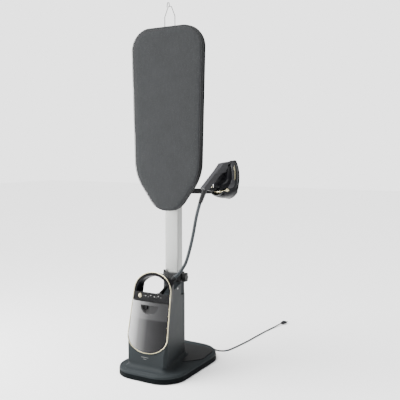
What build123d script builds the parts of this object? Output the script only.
"""Upright ironing stand: steam unit, telescopic pole, tilting board and docked steam iron.

Millimetres, +Z up. The origin is on the floor under the pole's axis, the front is -Y.
"""
from build123d import *
from math import cos, pi, radians, sin, tan
import os

# ---------------------------------------------------------------- driving sizes
# base
BASE_HALF_W = 179
BASE_FRONT = -302
BASE_REAR = 232
BASE_FRONT_R = 118
BASE_REAR_R = 145
FOOT_H = 3
FOOT_R = 13
PLATE_T = 4
SKIRT_TOP = 25
SHELL_TOP = 42
SHELL_ROUND = 11
WALL = 3
DECK_T = 3
PEDESTAL_TOP = 66
PEDESTAL_FLARE = 16

# tower
TOWER_FRONT_W = 118
TOWER_MID_W = 57
TOWER_REAR_W = 50
TOWER_FRONT_Y = -262
TOWER_MID_Y = -5
TOWER_REAR_Y = 34
TOWER_FRONT_R = 30
TOWER_REAR_R = 20
FACE_Y = -255
FACE_Z = 120
LEAN = 11.9
TOWER_DECK_Z = 361
TOWER_TOP_Z = 425
NECK_GROW = 10
CHEEK_FRONT_Z = 412

# leaning oval: gold ring, tank, panel and handle
OVAL_LOW_A = 115
OVAL_LOW_B = 80
OVAL_HIGH_A = 107
OVAL_HIGH_B = 90
OVAL_HEIGHT = 388
RING_W = 5
RING_PROUD = 3
RING_SUNK = 3
BAY_DEPTH = 118
BAY_WALL = 2.5
PANEL_LOW = 246
PANEL_HIGH = 287
PANEL_T = 6
PANEL_PROUD = 1
HANDLE_DEPTH = 46
HANDLE_OPEN_A = 93
HANDLE_SIDE = 11
HANDLE_OPEN_B = 82
TANK_GAP = 0.8
TANK_WALL = 2.5
TANK_BULGE = 13
RECESS_HALF_W = 50
RECESS_TOP = 227
RECESS_LOW = 183
RECESS_DEPTH = 24
CAP_R = 15
BUTTON_R = 9.5
BUTTON_U = -66
BUTTON_V = 268
BUTTON_TRAVEL = 1.5
LIGHT_R = 2.2
LIGHT_PLACES = [(-33, 270), (-5, 274), (16, 270), (38, 274)]

# pole, collar and slide
POLE_HALF_W = 39
POLE_FRONT = -20
POLE_REAR = 24
POLE_WALL = 2
POLE_R = 6
POLE_BOTTOM = 252
GUIDE_GAP = 1
GUIDE_WALL = 3
COLLAR_TOP = 470
COLLAR_GROW = 12
BUSH_GAP = 0.5
BUSH_T = 3.5
CLAMP_Z = 447
CLAMP_SCREW_R = 5
LEVER_HUB_R = 15
LEVER_LENGTH = 43

# board
BOARD_TOP = 1677
BOARD_TOP_R = 108
BOARD_NOSE = 781
BOARD_HALF_W = 206
BOARD_TAPER = 19
SHOULDER_Z = 955
SHOULDER_R = 220
NOSE_HALF_W = 60
NOSE_R = 108
BOARD_BACK = -26
TRAY_T = 12
PAD_T = 25
COVER_T = 4
TILT_Z = 1120
TILT_Y = 2
PIN_R = 5
PIN_GAP = 0.3
EAR_T = 6
EAR_R = 16
TONGUE_HALF_W = 15
SIDE_GAP = 0.6

# wire hanger
WIRE_R = 1.75
HANGER_X = 4
HANGER_HALF_W = 29
HANGER_TOP_HALF_W = 9
HANGER_TRAVEL = 42
HANGER_SHOULDER = BOARD_TOP + 49
HANGER_BAR = BOARD_TOP + 97
HANGER_IN = 100

# dock and iron
DOCK_Z = 880
DOCK_BAND_H = 34
IRON_TIP = Vector(318, 50, 1030)
IRON_YAW = 65
IRON_LEAN = 15
SOLE_LENGTH = 180
SOLE_HALF_W = 56
SOLE_WIDE_AT = 118
SOLE_T = 4
GUARD_T = 10
BODY_TOP = 78
GRIP_HALF_W = 15
GRIP_LOW_H = 78
ELBOW_A = -38
ELBOW_H = 86
CORNER_A = -172
CORNER_H = 154
CUP_TOP_A = -160
BAND_TOP_A = -134
CUP_H = 72
DOCK_GAP = 1.5
DOCK_T = 4
TRIGGER_L = 34

# hose and mains cord
HOSE_R = 8
SLEEVE_DIR = Vector(-0.32, -0.10, -0.94).normalized()
SLEEVE_L = 62
CORD_R = 3.5
GLAND = Vector(-20, -104, TOWER_DECK_Z)
GLAND_DIR = Vector(0.57, 0.15, 0.81).normalized()
GLAND_L = 30
CLIP_POINT = Vector(40, -64, 450)
CLIP_DIR = Vector(0.615, 0.324, 0.72).normalized()
COIL_X = -160
COIL_Y = 268
COIL_R = 37.5
RELIEF_L = 22
RELIEF_X = 10
RELIEF_Z = 11
RELIEF_R = 7

os.makedirs("parts", exist_ok=True)


# ---------------------------------------------------------------- helpers
def save(name, *solids):
    """Write the solids of one sub-part to its STEP file."""
    shape = solids[0] if len(solids) == 1 else Compound(children=list(solids))
    shape.label = name
    export_step(shape, f"parts/{name}.step")


def block(x0, x1, y0, y1, z0, z1):
    """A box between two corners."""
    return Pos((x0 + x1) / 2, (y0 + y1) / 2, (z0 + z1) / 2) * Box(x1 - x0, y1 - y0, z1 - z0)


def rod(start, end, radius, radius_end=None):
    """A round bar or cone from one point to another."""
    start, end = Vector(*start), Vector(*end)
    axis = end - start
    where = Plane(origin=start, z_dir=axis.normalized())
    if radius_end is None:
        shape = Cylinder(radius, axis.length, align=(Align.CENTER, Align.CENTER, Align.MIN))
    else:
        shape = Cone(radius, radius_end, axis.length, align=(Align.CENTER, Align.CENTER, Align.MIN))
    return where * shape


def rounded_plan(corners, radii):
    """A closed outline in plan with each corner rounded by its own radius."""
    face = make_face(Polyline(*corners, close=True))
    for (x, y), radius in zip(corners, radii):
        if radius > 0:
            near = face.vertices().sort_by_distance((x, y, 0))[0]
            face = fillet(near, radius)
    return face


def prism(face, z0, z1):
    """A plan outline raised from z0 to z1."""
    return extrude(Pos(0, 0, z0) * face, z1 - z0, dir=(0, 0, 1))


def tube_on(points, radius, label):
    """A round tube on straight runs joined by arcs of 0.45 of the shorter run."""
    points = [Vector(*p) for p in points]
    radii = []
    for before, here, after in zip(points, points[1:], points[2:]):
        turn = (here - before).get_angle(after - here)
        shorter = min((here - before).length, (after - here).length)
        radii.append(0.45 * shorter / tan(radians(turn) / 2))
    path = FilletPolyline(*points, radius=radii)
    section = Plane(origin=points[0], z_dir=points[1] - points[0]) * Circle(radius)
    tube = sweep(section, path=path)
    volume = pi * radius ** 2 * path.length
    print(label, "length", round(path.length), "radii", [round(r) for r in radii],
          "volume ratio", round(tube.volume / volume, 4))
    return tube


def pole_section(grow):
    """The pole's rounded rectangle, grown all round."""
    width = 2 * (POLE_HALF_W + grow)
    depth = POLE_REAR - POLE_FRONT + 2 * grow
    return Pos(0, (POLE_REAR + POLE_FRONT) / 2) * RectangleRounded(width, depth, POLE_R + grow)


# ---------------------------------------------------------------- base
def base_outline(inset):
    """The base's plan, drawn in by an inset."""
    half, front, rear = BASE_HALF_W - inset, BASE_FRONT + inset, BASE_REAR - inset
    front_r, rear_r = BASE_FRONT_R - inset, BASE_REAR_R - inset
    corners = [(-half, front), (half, front), (half, rear), (-half, rear)]
    return rounded_plan(corners, [front_r, front_r, rear_r, rear_r])


def tower_plan(grow):
    """The tower's plan: wide at the front, narrow round the pole."""
    front, mid, rear = TOWER_FRONT_W + grow, TOWER_MID_W + grow, TOWER_REAR_W + grow
    y0, y2 = TOWER_FRONT_Y - grow, TOWER_REAR_Y + grow
    corners = [(-front, y0), (front, y0), (mid, TOWER_MID_Y), (rear, y2), (-rear, y2),
               (-mid, TOWER_MID_Y)]
    front_r, rear_r = TOWER_FRONT_R + grow, TOWER_REAR_R + grow
    return rounded_plan(corners, [front_r, front_r, 0, rear_r, rear_r, 0])


def tower_seam(grow):
    """The tower's plan at its foot, where the front is cut flat."""
    front_face = FACE_Y - grow
    far = TOWER_FRONT_W * 2
    return tower_plan(grow) & make_face(Polyline((-far, front_face), (far, front_face),
                                                 (far, far), (-far, far), close=True))


plate_z0 = FOOT_H
plate_z1 = FOOT_H + PLATE_T
bottom_plate = prism(base_outline(WALL), plate_z0, plate_z1)
foot_places = [(-120, -215), (120, -215), (0, 0), (-100, 140), (100, 140)]
feet = [Pos(x, y, FOOT_H / 2) * Cylinder(FOOT_R, FOOT_H) for x, y in foot_places]

skirt = prism(base_outline(0), plate_z0, SKIRT_TOP) - prism(base_outline(WALL), 0, SKIRT_TOP)
ledge = prism(base_outline(WALL), SKIRT_TOP - WALL, SKIRT_TOP)
skirt = skirt + (ledge - prism(base_outline(4 * WALL), 0, SKIRT_TOP))

slab = prism(base_outline(1), SKIRT_TOP, SHELL_TOP)
slab = fillet(slab.edges().group_by(Axis.Z)[-1], SHELL_ROUND)
pedestal = loft([Pos(0, 0, SHELL_TOP) * tower_seam(PEDESTAL_FLARE),
                 Pos(0, 0, PEDESTAL_TOP) * tower_seam(0)])
hollow = prism(base_outline(1 + WALL), SKIRT_TOP - 1, SHELL_TOP - WALL)
hollow = fillet(hollow.edges().group_by(Axis.Z)[-1], SHELL_ROUND - WALL)
base_shell = (slab + pedestal) - hollow - prism(tower_seam(-4 * WALL), 0, PEDESTAL_TOP + 1)
base_shell -= prism(pole_section(GUIDE_GAP + GUIDE_WALL), 0, PEDESTAL_TOP + 1)

deck_outline = [(-105, -72), (105, -72), (165, 0), (150, 176), (-150, 176), (-165, 0)]
deck_radii = [12, 12, 60, 66, 66, 60]
rear_deck = prism(rounded_plan(deck_outline, deck_radii), SHELL_TOP, SHELL_TOP + DECK_T) - pedestal

# ---------------------------------------------------------------- tower
lean_cos, lean_sin = cos(radians(LEAN)), sin(radians(LEAN))
face_plane = Plane(origin=(0, FACE_Y, FACE_Z), x_dir=(1, 0, 0), z_dir=(0, -lean_cos, lean_sin))


def on_face(u, v, out):
    """A point in the leaning front face: across, up the slope, out of it."""
    return face_plane.from_local_coords(Vector(u, v, out))


def oval(inset):
    """The long oval that the ring, the tank and the handle share."""
    low_a, low_b = OVAL_LOW_A - inset, OVAL_LOW_B - inset
    high_a, high_b = OVAL_HIGH_A - inset, OVAL_HIGH_B - inset
    high_v = OVAL_HEIGHT - OVAL_HIGH_B
    sides = Polyline((-low_a, OVAL_LOW_B), (low_a, OVAL_LOW_B), (high_a, high_v),
                     (-high_a, high_v), close=True)
    return (Pos(0, OVAL_LOW_B) * Ellipse(low_a, low_b) + make_face(sides)
            + Pos(0, high_v) * Ellipse(high_a, high_b))


def face_band(v0, v1):
    """A wide strip of the leaning face between two heights."""
    far = 2 * OVAL_LOW_A
    return make_face(Polyline((-far, v0), (far, v0), (far, v1), (-far, v1), close=True))


def from_face(outline, out0, out1):
    """An outline on the leaning face raised between two distances from it."""
    return extrude(face_plane * (Pos(0, 0, out0) * outline), out1 - out0,
                   dir=face_plane.z_dir)


def tower_body(inset):
    """The tower's outer shape, drawn in by an inset, open downwards."""
    z0 = PEDESTAL_TOP - (1 if inset else 0)
    lean_shift = inset / lean_cos
    deck = TOWER_DECK_Z - inset
    front = FACE_Y + inset
    deck_front = FACE_Y + lean_shift + (deck - FACE_Z) * tan(radians(LEAN))
    side = Polyline((front, z0), (front, FACE_Z), (deck_front, deck), (TOWER_REAR_Y - inset, deck),
                    (TOWER_REAR_Y - inset, z0), close=True)
    width = 2 * TOWER_FRONT_W
    side_prism = extrude(Plane.YZ * make_face(side), width, both=True)
    return prism(tower_plan(-inset), z0, deck) & side_prism


guide_out = GUIDE_GAP + GUIDE_WALL
bay_outline = oval(RING_W) & face_band(-10, PANEL_LOW - 0.5)
tower_shell = tower_body(0) - tower_body(WALL)
tower_shell -= from_face(oval(-1), -RING_SUNK, 40)
tower_shell -= from_face(bay_outline, -BAY_DEPTH - BAY_WALL, 0) & prism(tower_plan(-WALL), 0, TOWER_TOP_Z)
tower_shell -= from_face(oval(RING_W) & face_band(PANEL_LOW - 0.5, PANEL_HIGH), -PANEL_T, 0)
tower_shell += prism(pole_section(NECK_GROW), TOWER_DECK_Z - WALL, TOWER_TOP_Z) & prism(tower_plan(0), 0, TOWER_TOP_Z)
tower_shell -= prism(pole_section(guide_out), PEDESTAL_TOP, TOWER_TOP_Z + 1)
cheek_back = (FACE_Y + (TOWER_DECK_Z - FACE_Z) * tan(radians(LEAN)) + HANDLE_DEPTH / lean_cos + PIN_GAP,
              FACE_Y + (CHEEK_FRONT_Z - FACE_Z) * tan(radians(LEAN)) + HANDLE_DEPTH / lean_cos + PIN_GAP)
cheek_side = Polyline((cheek_back[0], TOWER_DECK_Z - 1), (cheek_back[1], CHEEK_FRONT_Z),
                      (POLE_FRONT - NECK_GROW + 2, TOWER_TOP_Z), (POLE_FRONT - NECK_GROW + 2, TOWER_DECK_Z - 1), close=True)
cheek = extrude(Plane.YZ * make_face(cheek_side), TOWER_FRONT_W)
tower_shell += (prism(tower_plan(0), 0, TOWER_TOP_Z) - prism(tower_plan(-WALL), 0, TOWER_TOP_Z)) & cheek
tower_shell += (prism(tower_plan(0), 0, TOWER_TOP_Z) & block(
    POLE_HALF_W, TOWER_MID_W, POLE_FRONT - NECK_GROW - 4, POLE_FRONT, TOWER_DECK_Z - WALL, TOWER_TOP_Z)) - prism(
    pole_section(guide_out), 0, TOWER_TOP_Z + 1)
gland_hole = rod(GLAND - GLAND_DIR * 12, GLAND + GLAND_DIR * 20, HOSE_R + 3)
tower_shell -= gland_hole

bay_cavity = oval(RING_W + BAY_WALL) & face_band(-10, PANEL_LOW - 0.5 - BAY_WALL)
tank_bay = from_face(bay_outline, -BAY_DEPTH - BAY_WALL, -RING_SUNK) & prism(tower_plan(-WALL), 0, TOWER_TOP_Z)
tank_bay -= from_face(bay_cavity, -BAY_DEPTH, 0) & prism(tower_plan(-WALL - BAY_WALL), 0, TOWER_TOP_Z)

trim_ring = from_face(oval(0) - oval(RING_W), -RING_SUNK, RING_PROUD)
trim_ring = fillet(trim_ring.faces().sort_by(Axis(face_plane.origin, face_plane.z_dir))[-1].edges(), 1.6)

# panel with its holes
panel_outline = oval(RING_W) & face_band(PANEL_LOW, PANEL_HIGH)
control_panel = from_face(panel_outline, -PANEL_T, PANEL_PROUD)
button_gap = 0.4
control_panel -= from_face(Pos(BUTTON_U, BUTTON_V) * Circle(BUTTON_R + button_gap), -20, 5)
lights = []
for u, v in LIGHT_PLACES:
    control_panel -= from_face(Pos(u, v) * Circle(LIGHT_R), -20, 5)
    lights.append(from_face(Pos(u, v) * Circle(LIGHT_R), -PANEL_T, PANEL_PROUD + 0.3))
power_button = from_face(Pos(BUTTON_U, BUTTON_V) * Circle(BUTTON_R), -PANEL_T + BUTTON_TRAVEL + 1, PANEL_PROUD + 2)
power_button = fillet(power_button.edges().sort_by(Axis(face_plane.origin, face_plane.z_dir))[-1], 1)
board_low, board_high = PANEL_LOW + 4, PANEL_LOW + 24
control_board = from_face(Pos(0, (board_low + board_high) / 2) * Rectangle(150, board_high - board_low),
                          -PANEL_T - 6, -PANEL_T - 4)

# arched carry handle
handle_low = PANEL_LOW
handle = from_face(oval(RING_W) & face_band(handle_low, OVAL_HEIGHT), -HANDLE_DEPTH, 0)
opening = (Pos(0, PANEL_HIGH) * Ellipse(HANDLE_OPEN_A, HANDLE_OPEN_B)) & face_band(PANEL_HIGH, OVAL_HEIGHT)
opening = opening + Pos(0, PANEL_HIGH - 40) * Rectangle(2 * HANDLE_OPEN_A, 80)
handle -= from_face(opening, -HANDLE_DEPTH - 1, 1) & prism(tower_plan(-HANDLE_SIDE), 0, 700)
board_pocket = Pos(0, (board_low + board_high) / 2) * Rectangle(154, board_high - board_low + 4)
handle -= from_face(board_pocket, -PANEL_T - 6, 0)
handle -= from_face(face_band(handle_low - 50, PANEL_HIGH), -PANEL_T, 1)
carry_handle = handle & prism(tower_plan(0), TOWER_DECK_Z, 700)

# ---------------------------------------------------------------- water tank
tank_top = PANEL_LOW - 0.5 - BAY_WALL - TANK_GAP
bulge_r = (OVAL_LOW_A ** 2 + TANK_BULGE ** 2) / (2 * TANK_BULGE)


def bulged(inset, back, top):
    """The tank's outline raised from its back to a front that bows outwards."""
    outline = oval(RING_W + BAY_WALL + TANK_GAP + inset) & face_band(-10, top)
    drum = face_plane * Pos(0, 120, TANK_BULGE - bulge_r) * Rot(90, 0, 0)
    sides = prism(tower_plan(-WALL - BAY_WALL - TANK_GAP - inset), 0, TOWER_TOP_Z)
    front = from_face(outline, -RING_SUNK, 30)
    return ((from_face(outline, back, -RING_SUNK) & sides) + front) & drum * Cylinder(bulge_r - inset, 400)


recess = Pos(0, RECESS_TOP) * Ellipse(RECESS_HALF_W, RECESS_TOP - RECESS_LOW)
recess = recess & face_band(RECESS_LOW - 10, RECESS_TOP)
recess_wall = Pos(0, RECESS_TOP) * Ellipse(RECESS_HALF_W + TANK_WALL, RECESS_TOP - RECESS_LOW + TANK_WALL)
recess_wall = recess_wall & face_band(RECESS_LOW - 10, RECESS_TOP + TANK_WALL)
recess_back = TANK_BULGE - RECESS_DEPTH
tank_back = -BAY_DEPTH + TANK_GAP
cavity = bulged(TANK_WALL, tank_back + TANK_WALL, tank_top - TANK_WALL)
cavity -= from_face(recess_wall, recess_back - TANK_WALL, 40)
tank_shell = bulged(0, tank_back, tank_top) - cavity - from_face(recess, recess_back, 40)
cap_out = -60
cap_low, cap_high = on_face(45, tank_top - TANK_WALL - 5, cap_out), on_face(45, tank_top, cap_out)
tank_shell -= rod(cap_low, cap_high + face_plane.y_dir * 5, CAP_R)
tank_cap = rod(cap_low, cap_high, CAP_R)
valve_low, valve_high = on_face(0, -5, -90), on_face(0, 24, -90)
tank_valve = rod(valve_low, valve_high, 8) & bulged(0, tank_back, tank_top)
tank_shell -= tank_valve
latch_half_h = 9
latch_out = recess_back + 10
tank_latch = from_face(Pos(-30, RECESS_TOP - 3 - latch_half_h) * Rectangle(22, 2 * latch_half_h),
                       recess_back + 0.4, latch_out)
tank_latch = fillet(tank_latch.edges().filter_by(Axis(face_plane.origin, face_plane.z_dir)), 3)

# ---------------------------------------------------------------- inside the tower
BOILER_R = 34
PUMP_R = 15
boiler_z0 = PEDESTAL_TOP + 6
boiler = Pos(0, -74, boiler_z0) * Cylinder(BOILER_R, 96, align=(Align.CENTER, Align.CENTER, Align.MIN))
boiler += Pos(0, -74, boiler_z0 - 6) * Cylinder(10, 6, align=(Align.CENTER, Align.CENTER, Align.MIN))
pump = Pos(-52, -74, boiler_z0) * Cylinder(PUMP_R, 70, align=(Align.CENTER, Align.CENTER, Align.MIN))
pipe_start = (0, -74, boiler_z0 + 96)
pipe_bend = (0, -74, TOWER_DECK_Z - 25)
steam_pipe = rod(pipe_start, pipe_bend, 5)
steam_pipe += rod(pipe_bend, GLAND - GLAND_DIR * 12, 5)
steam_pipe += Pos(*pipe_bend) * Sphere(5)

flange = Pos(GLAND.X, GLAND.Y, TOWER_DECK_Z + 2) * Cylinder(19, 4)
gland_body = rod(GLAND - GLAND_DIR * 12, GLAND + GLAND_DIR * GLAND_L, HOSE_R + 3, HOSE_R + 1)
hose_gland = flange + gland_body
hose_gland -= rod(GLAND - GLAND_DIR * 16, GLAND + GLAND_DIR * (GLAND_L - 8), 5)
steam_pipe -= hose_gland

# ---------------------------------------------------------------- pole and collar
guide_bottom = PLATE_T + FOOT_H
guide_tube = prism(pole_section(guide_out) - pole_section(GUIDE_GAP), guide_bottom, TOWER_TOP_Z)
pole_tube = prism(pole_section(0) - pole_section(-POLE_WALL), POLE_BOTTOM + 6, TILT_Z - 34)
pole_foot = prism(pole_section(GUIDE_GAP - 0.3) - pole_section(-POLE_WALL), POLE_BOTTOM, POLE_BOTTOM + 6)

bush_out = BUSH_GAP + BUSH_T
collar = prism(pole_section(COLLAR_GROW), TOWER_TOP_Z, COLLAR_TOP)
collar = fillet(collar.edges().group_by(Axis.Z)[-1], 3)
collar -= prism(pole_section(bush_out), TOWER_TOP_Z - 1, COLLAR_TOP - 4)
collar -= prism(pole_section(BUSH_GAP + 0.5), TOWER_TOP_Z - 1, COLLAR_TOP + 1)
upper_bush = prism(pole_section(bush_out) - pole_section(BUSH_GAP), TOWER_TOP_Z, COLLAR_TOP - 4)
mid_y = (POLE_FRONT + POLE_REAR) / 2
collar_side = POLE_HALF_W + COLLAR_GROW
BOSS_L = 4
boss = rod((collar_side, mid_y, CLAMP_Z), (collar_side + BOSS_L, mid_y, CLAMP_Z), 13)
screw_from, screw_to = POLE_HALF_W + BUSH_GAP, collar_side + 20
screw = rod((screw_from, mid_y, CLAMP_Z), (screw_to, mid_y, CLAMP_Z), CLAMP_SCREW_R)
collar = (collar + boss) - rod((screw_from - 5, mid_y, CLAMP_Z), (screw_to, mid_y, CLAMP_Z),
                               CLAMP_SCREW_R)
upper_bush -= rod((screw_from - 5, mid_y, CLAMP_Z), (screw_to, mid_y, CLAMP_Z), CLAMP_SCREW_R)
tab = block(-41, -31, POLE_FRONT - COLLAR_GROW, POLE_FRONT - COLLAR_GROW + 6, COLLAR_TOP, COLLAR_TOP + 12)
collar += tab
hub_from = collar_side + BOSS_L + SIDE_GAP
clamp_lever = rod((hub_from, mid_y, CLAMP_Z), (screw_to + 5, mid_y, CLAMP_Z), LEVER_HUB_R)
grip_low = CLAMP_Z - LEVER_LENGTH / 2
lever_grip = block(hub_from, screw_to + 5, mid_y - 14, mid_y + 14, grip_low, grip_low + LEVER_LENGTH)
clamp_lever += fillet(lever_grip.edges(), 4)
clamp_lever -= rod((hub_from - 5, mid_y, CLAMP_Z), (screw_to + PIN_GAP, mid_y, CLAMP_Z),
                   CLAMP_SCREW_R + PIN_GAP)

# tilt head on the pole
head_z0, head_z1 = TILT_Z - 34, TILT_Z - 20
pole_head = prism(pole_section(0), head_z0, head_z1)
pole_head += prism(pole_section(-POLE_WALL), head_z0 - 30, head_z0)
tongue = block(-TONGUE_HALF_W, TONGUE_HALF_W, TILT_Y - EAR_R, TILT_Y + EAR_R, head_z1, TILT_Z)
tongue += rod((-TONGUE_HALF_W, TILT_Y, TILT_Z), (TONGUE_HALF_W, TILT_Y, TILT_Z), EAR_R)
pin_half = TONGUE_HALF_W + SIDE_GAP + EAR_T + 14
pole_head = pole_head + tongue - rod((-pin_half, TILT_Y, TILT_Z), (pin_half, TILT_Y, TILT_Z), PIN_R)
hinge_pin = rod((-pin_half + 12, TILT_Y, TILT_Z), (pin_half, TILT_Y, TILT_Z), PIN_R)

ear_x0 = TONGUE_HALF_W + SIDE_GAP
ear_x1 = ear_x0 + EAR_T
bracket_t = 4
board_bracket = block(-60, 60, BOARD_BACK, BOARD_BACK + bracket_t, TILT_Z - 70, TILT_Z + 90)
for side in (-1, 1):
    x0, x1 = sorted((side * ear_x0, side * ear_x1))
    ear = block(x0, x1, BOARD_BACK + bracket_t, TILT_Y, TILT_Z - EAR_R + 2, TILT_Z + EAR_R - 2)
    ear += rod((x0, TILT_Y, TILT_Z), (x1, TILT_Y, TILT_Z), EAR_R - 2)
    board_bracket += ear
board_bracket -= rod((-pin_half, TILT_Y, TILT_Z), (pin_half, TILT_Y, TILT_Z), PIN_R + PIN_GAP)
screw_places = [(-50, -55), (50, -55), (-50, 75), (50, 75)]
bracket_screws = [rod((x, BOARD_BACK + bracket_t, TILT_Z + z), (x, BOARD_BACK + bracket_t + 3, TILT_Z + z), 4)
                  for x, z in screw_places]
lever_x0 = ear_x1 + SIDE_GAP
tilt_lever = rod((lever_x0, TILT_Y, TILT_Z), (pin_half - 3, TILT_Y, TILT_Z), 12)
tilt_lever += block(lever_x0, lever_x0 + 6, TILT_Y - 2, TILT_Y + 62, TILT_Z - 6, TILT_Z + 6)
tilt_lever -= rod((0, TILT_Y, TILT_Z), (pin_half + 1, TILT_Y, TILT_Z), PIN_R + PIN_GAP)

# ---------------------------------------------------------------- board


def board_outline(inset):
    """Board outline in X and Z: crowned top, nearly straight sides, rounded nose."""
    half, shoulder = BOARD_HALF_W, BOARD_HALF_W - BOARD_TAPER
    corners = [(-half, BOARD_TOP), (half, BOARD_TOP), (shoulder, SHOULDER_Z), (NOSE_HALF_W, BOARD_NOSE),
               (-NOSE_HALF_W, BOARD_NOSE), (-shoulder, SHOULDER_Z)]
    outline = rounded_plan(corners, [BOARD_TOP_R, BOARD_TOP_R, SHOULDER_R, NOSE_R, NOSE_R, SHOULDER_R])
    return offset(outline, -inset) if inset else outline


def board_slice(inset, y0, y1):
    """The board outline between two depths."""
    upright = Plane(origin=(0, y1, 0), x_dir=(1, 0, 0), z_dir=(0, -1, 0))
    return extrude(upright * board_outline(inset), y1 - y0, dir=(0, -1, 0))


tray_front = BOARD_BACK - TRAY_T
pad_front = tray_front - PAD_T
board_tray = board_slice(5, tray_front, BOARD_BACK) - board_slice(9, tray_front - 1, BOARD_BACK - 3)
board_pad = board_slice(5, pad_front, tray_front)
board_cover = board_slice(0, pad_front - COVER_T, tray_front) - board_slice(5, pad_front, tray_front + 1)
socket_y = BOARD_BACK - TRAY_T / 2 - 1
hanger_feet = HANGER_SHOULDER - HANGER_IN - HANGER_TRAVEL - 4
sockets = []
for side in (-1, 1):
    x = HANGER_X + side * HANGER_HALF_W
    sockets.append(rod((x, socket_y, hanger_feet), (x, socket_y, BOARD_TOP - 2), WIRE_R + 1.9))
    board_tray -= rod((x, socket_y, hanger_feet), (x, socket_y, BOARD_TOP + 5), WIRE_R + 1.9)
hanger_sockets = [s - Pos(0, 0, 1) * rod((x, socket_y, hanger_feet + 1), (x, socket_y, BOARD_TOP + 5),
                                         WIRE_R + 0.3)
                  for s, x in zip(sockets, (HANGER_X - HANGER_HALF_W, HANGER_X + HANGER_HALF_W))]

left_x, right_x = HANGER_X - HANGER_HALF_W, HANGER_X + HANGER_HALF_W
bar_left, bar_right = HANGER_X - HANGER_TOP_HALF_W, HANGER_X + HANGER_TOP_HALF_W
wire_low = HANGER_SHOULDER - HANGER_IN
wire_path = FilletPolyline((left_x, socket_y, wire_low), (left_x, socket_y, HANGER_SHOULDER),
                           (bar_left, socket_y, HANGER_BAR), (bar_right, socket_y, HANGER_BAR),
                           (right_x, socket_y, HANGER_SHOULDER), (right_x, socket_y, wire_low),
                           radius=5)
hanger_wire = sweep(Plane(origin=(left_x, socket_y, wire_low), z_dir=(0, 0, 1)) * Circle(WIRE_R),
                    path=wire_path)
loop_path = FilletPolyline((bar_left + 7, socket_y, HANGER_BAR + WIRE_R),
                           (bar_left + 4, socket_y, HANGER_BAR + 20),
                           (bar_left - 4, socket_y, HANGER_BAR + 20),
                           (bar_left - 7, socket_y, HANGER_BAR - 2), radius=3.5)
hanger_wire += sweep(Plane(origin=loop_path @ 0, z_dir=loop_path % 0) * Circle(WIRE_R), path=loop_path)

# ---------------------------------------------------------------- iron
yaw, iron_lean = radians(IRON_YAW), radians(IRON_LEAN)
sole_out = Vector(cos(yaw) * cos(iron_lean), sin(yaw) * cos(iron_lean), -sin(iron_lean))
iron_up = Vector(cos(yaw) * sin(iron_lean), sin(yaw) * sin(iron_lean), cos(iron_lean))
iron_plane = Plane(origin=IRON_TIP, x_dir=iron_up, z_dir=-sole_out)


def sole_outline(grow):
    """The sole: a pointed front, widest near the heel, a round heel."""
    wide, heel, half = -SOLE_WIDE_AT, -SOLE_LENGTH - grow, SOLE_HALF_W + grow
    tip = grow
    edges = []
    for side in (-1, 1):
        edges.append(ThreePointArc((tip, 0), (wide * 0.42, side * half * 0.69), (wide, side * half)))
        edges.append(ThreePointArc((wide, side * half), (heel * 0.93, side * half * 0.66), (heel, 0)))
    return make_face(edges)


def iron_slab(outline, h0, h1):
    """A sole-parallel outline between two heights above the sole, in the iron's own frame."""
    return extrude(Pos(0, 0, h0) * outline, h1 - h0, dir=(0, 0, 1))


def iron_side(points, half_width):
    """A side profile of the iron given as (along, height), widened both ways."""
    return extrude(Plane.XZ * make_face(Polyline(*points, close=True)), half_width, both=True)


body_low = SOLE_T + GUARD_T
soleplate = iron_slab(sole_outline(0), 0, SOLE_T)
heat_guard = iron_slab(sole_outline(1.5), SOLE_T, body_low)
chamber = iron_slab(sole_outline(-16), SOLE_T, body_low + 14)
heat_guard -= chamber
body_profile = [(-2, body_low), (-30, 50), (-70, 46), (-112, 50), (BAND_TOP_A, 68), (BAND_TOP_A, body_low)]
iron_body = iron_slab(sole_outline(-2), body_low, BODY_TOP) & iron_side(body_profile, 90)
iron_body -= chamber
band_profile = [(BAND_TOP_A, body_low), (BAND_TOP_A, 69), (CUP_TOP_A, BODY_TOP), (CUP_TOP_A, body_low)]
heel_band = iron_slab(sole_outline(-1), body_low, BODY_TOP) & iron_side(band_profile, 90)
heel_band -= chamber
heel_profile = [(CUP_TOP_A, body_low), (CUP_TOP_A, BODY_TOP), (-SOLE_LENGTH + 8, BODY_TOP - 6),
                (-SOLE_LENGTH - 4, 40), (-SOLE_LENGTH - 4, body_low)]
heel_cap = (iron_slab(sole_outline(-2), body_low, BODY_TOP) & iron_side(heel_profile, 90)) - chamber

# handle loop: nose column, bar rising to the rear corner, rear strut
column = iron_side([(-4, body_low + 4), (ELBOW_A + 6, ELBOW_H - 6), (ELBOW_A - 6, ELBOW_H),
                    (-86, ELBOW_H + 20), (-74, 66), (-56, 30), (-36, body_low + 4)], GRIP_HALF_W + 4)
bar = iron_side([(ELBOW_A - 6, ELBOW_H), (CORNER_A + 4, CORNER_H + 2), (CORNER_A - 5, CORNER_H - 6),
                 (CORNER_A - 2, CORNER_H - 26), (-86, GRIP_LOW_H), (-74, 66)], GRIP_HALF_W)
column = column & iron_slab(sole_outline(-3), 0, 200)
handle_shell = (column + bar) - iron_body - chamber
strut = iron_side([(CORNER_A + 4, CORNER_H - 23), (CORNER_A - 2, CORNER_H - 26), (CORNER_A + 1, 102),
                   (-166, 70), (-146, 66), (-154, 102)], GRIP_HALF_W - 3)
rear_strut = strut - handle_shell - heel_band - heel_cap


def under_grip(along, drop):
    """A point below the grip's underside, which rises in a straight line to the rear corner."""
    slope = (CORNER_H - 26 - GRIP_LOW_H) / (-86 - (CORNER_A - 2))
    return along, GRIP_LOW_H + (-86 - along) * slope - drop


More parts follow.
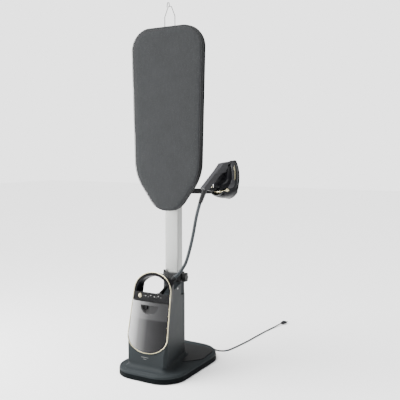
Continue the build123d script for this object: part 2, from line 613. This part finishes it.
trigger_end = -92 - TRIGGER_L
trigger = iron_side([under_grip(-92, -3), under_grip(trigger_end, -3), under_grip(trigger_end, 5),
                     under_grip(-104, 9), under_grip(-94, 6)], 7)
trigger_room = iron_side([under_grip(-91, -6), under_grip(trigger_end - 1, -6), under_grip(trigger_end - 1, 12),
                          under_grip(-91, 12)], 7 + SIDE_GAP)
handle_shell -= trigger_room
sleeve_start = iron_plane.from_local_coords(Vector(CORNER_A - 4, 0, CORNER_H - 14))
sleeve_end = sleeve_start + SLEEVE_DIR * SLEEVE_L
hose_sleeve = rod(sleeve_start, sleeve_end, HOSE_R + 4, HOSE_R + 1.5) - iron_plane * (handle_shell + rear_strut)

# dock: a cup round the heel and a plate behind the sole
dock_low = -DOCK_GAP - DOCK_T
dock_plate = iron_slab(sole_outline(DOCK_GAP + DOCK_T), dock_low, -DOCK_GAP)
cup = iron_slab(sole_outline(DOCK_GAP + DOCK_T), dock_low, CUP_H) - iron_slab(
    sole_outline(DOCK_GAP + 1), -DOCK_GAP, CUP_H + 1)
cup = cup & iron_slab(Pos(-SOLE_LENGTH, 0) * Rectangle(2 * (SOLE_LENGTH + CUP_TOP_A), 160), dock_low, CUP_H)
dock_cradle = dock_plate + cup
band_half_h = DOCK_BAND_H / 2
dock_bracket = prism(pole_section(5) - pole_section(0), DOCK_Z - band_half_h, DOCK_Z + band_half_h)
dock_end = iron_plane.from_local_coords(Vector(-140, 0, dock_low))
arm_points = [(POLE_HALF_W + 4, 8, DOCK_Z), (180, 66, DOCK_Z), (dock_end.X + 14, dock_end.Y + 34, DOCK_Z)]
arm_path = FilletPolyline(*arm_points, radius=60)
dock_arm = sweep(Plane(origin=arm_points[0], x_dir=(0, 0, 1), z_dir=arm_path % 0)
                 * RectangleRounded(26, 12, 4), path=arm_path)
arm_boss = rod((dock_end.X + 14, dock_end.Y + 34, DOCK_Z), dock_end, 14)
dock_arm = (dock_arm + arm_boss) - (iron_plane * dock_plate) - dock_bracket - prism(
    pole_section(0), DOCK_Z - 60, DOCK_Z + 60)

# ---------------------------------------------------------------- hose
hose_start = GLAND + GLAND_DIR * GLAND_L
hose_points = [hose_start, (11.6, -95, 406.8), (23.3, -82, 426), CLIP_POINT, (71.7, -56, 481.7), (89.5, -54, 508),
               (106, -52, 537), (128, -54, 605), (148, -60, 670), (167, -73, 731), (190, -94, 785), sleeve_end]
steam_hose = tube_on(hose_points, HOSE_R, "steam_hose") - hose_gland - hose_sleeve
clip_y0 = POLE_FRONT - COLLAR_GROW
clip_ring = rod(CLIP_POINT - CLIP_DIR * 10, CLIP_POINT + CLIP_DIR * 10, HOSE_R + 3.5)
hose_clip = block(32, 48, clip_y0 - 24, clip_y0, 440, 464) + clip_ring
hose_clip -= rod(CLIP_POINT - CLIP_DIR * 30, CLIP_POINT + CLIP_DIR * 30, HOSE_R + 0.4)
hose_clip -= steam_hose

# ---------------------------------------------------------------- mains cord
relief_y = BASE_REAR
relief_in = (RELIEF_X, relief_y - 8, RELIEF_Z)
relief_wall = (RELIEF_X, relief_y, RELIEF_Z)
relief_end = (RELIEF_X, relief_y + RELIEF_L, RELIEF_Z)
mains_gland = rod(relief_in, relief_wall, RELIEF_R) + rod(relief_wall, relief_end, RELIEF_R, CORD_R + 1.2)
gland_cut = rod(relief_in, (RELIEF_X, relief_y + 1, RELIEF_Z), RELIEF_R)
skirt -= gland_cut
bottom_plate -= gland_cut

FLOOR = CORD_R + 0.3
run_a = [relief_end, (RELIEF_X, 275, 8.5), (-3, 292, 5.4), (-25, 300, FLOOR),
         (-58, 290, FLOOR + 0.1), (-99, 266, FLOOR), (-136.5, 234.4, FLOOR)]
run_b = [(COIL_X, COIL_Y + COIL_R + 3.5, 7), (-112, 312, 5), (-62, 317, FLOOR), (-8, 315, FLOOR), (42, 305, FLOOR),
         (72, 281, FLOOR), (98, 263, FLOOR), (122, 258, FLOOR), (145, 265, FLOOR), (161, 282, FLOOR), (168, 308, FLOOR),
         (175, 350, FLOOR), (182, 408, FLOOR), (190, 480, FLOOR), (194, 562, FLOOR), (200, 647, FLOOR),
         (207, 735, FLOOR), (219, 818, 4.6), (233, 885, 11)]
coil = Pos(COIL_X, COIL_Y, 0.3) * (Cylinder(COIL_R + 7, 14, align=(Align.CENTER, Align.CENTER, Align.MIN))
                                   - Cylinder(COIL_R - 7, 14, align=(Align.CENTER, Align.CENTER, Align.MIN)))
cord_coil = fillet(coil.edges().filter_by(GeomType.CIRCLE), 3)
cord_run_in = tube_on(run_a, CORD_R, "cord_run_in") - cord_coil - mains_gland
cord_run_out = tube_on(run_b, CORD_R, "cord_run_out") - cord_coil
TIE_ANGLE = 200
tie_x = COIL_X + COIL_R * cos(radians(TIE_ANGLE))
tie_y = COIL_Y + COIL_R * sin(radians(TIE_ANGLE))
tie_box = Pos(tie_x, tie_y, 7.5) * Rot(0, 0, TIE_ANGLE) * Box(17, 9, 15)
cord_tie = tie_box - cord_coil

plug_start = Vector(*run_b[-1])
plug_dir = (Vector(233, 885, 0) - Vector(219, 818, 0)).normalized()
plug_plane = Plane(origin=plug_start, x_dir=Vector(0, 0, 1).cross(plug_dir), z_dir=plug_dir)
plug_body = loft([plug_plane * Circle(CORD_R + 2), plug_plane.offset(14) * RectangleRounded(20, 13, 5),
                  plug_plane.offset(40) * RectangleRounded(34, 13, 6)], ruled=True)
pins = [plug_plane * Pos(x, 0, 40) * Cylinder(2.2, 19, align=(Align.CENTER, Align.CENTER, Align.MIN))
        for x in (-9.5, 9.5)]
plug = plug_body + pins[0] + pins[1]
cord_run_out -= plug

# cord hook behind the tower
hook_y0 = TOWER_REAR_Y
cord_hook = block(-16, 16, hook_y0, hook_y0 + 16, PEDESTAL_TOP + 14, PEDESTAL_TOP + 30)
cord_hook += block(-24, 24, hook_y0 + 16, hook_y0 + 22, PEDESTAL_TOP + 4, PEDESTAL_TOP + 44)

# ---------------------------------------------------------------- write every sub-part
save("bottom_plate", bottom_plate)
save("feet", *feet)
save("skirt", skirt)
save("base_shell", base_shell)
save("rear_deck", rear_deck)
save("tower_shell", tower_shell)
save("tank_bay", tank_bay)
save("trim_ring", trim_ring)
save("control_panel", control_panel)
save("indicator_lights", *lights)
save("power_button", power_button)
save("control_board", control_board)
save("carry_handle", carry_handle)
save("tank_shell", tank_shell)
save("tank_cap", tank_cap)
save("tank_valve", tank_valve)
save("tank_latch", tank_latch)
save("boiler", boiler)
save("pump", pump)
save("steam_pipe", steam_pipe)
save("hose_gland", hose_gland)
save("guide_tube", guide_tube)
save("collar", collar)
save("upper_bush", upper_bush)
save("clamp_screw", screw)
save("clamp_lever", clamp_lever)
save("hose_clip", hose_clip)
save("cord_hook", cord_hook)
save("pole_tube", pole_tube)
save("pole_foot", pole_foot)
save("pole_head", pole_head)
save("hinge_pin", hinge_pin)
save("dock_bracket", dock_bracket)
save("dock_arm", dock_arm)
save("dock_cradle", iron_plane * dock_cradle)
save("board_bracket", board_bracket)
save("bracket_screws", *bracket_screws)
save("tilt_lever", tilt_lever)
save("board_tray", board_tray)
save("board_pad", board_pad)
save("board_cover", board_cover)
save("hanger_sockets", *hanger_sockets)
save("hanger_wire", hanger_wire)
for iron_name, iron_part in [("soleplate", soleplate), ("heat_guard", heat_guard), ("steam_chamber", chamber),
                             ("iron_body", iron_body), ("heel_band", heel_band), ("heel_cap", heel_cap),
                             ("handle_shell", handle_shell), ("rear_strut", rear_strut), ("trigger", trigger)]:
    save(iron_name, iron_plane * iron_part)
save("hose_sleeve", hose_sleeve)
save("steam_hose", steam_hose)
save("mains_gland", mains_gland)
save("cord_run_in", cord_run_in)
save("cord_coil", cord_coil)
save("cord_run_out", cord_run_out)
save("cord_tie", cord_tie)
save("plug", plug)
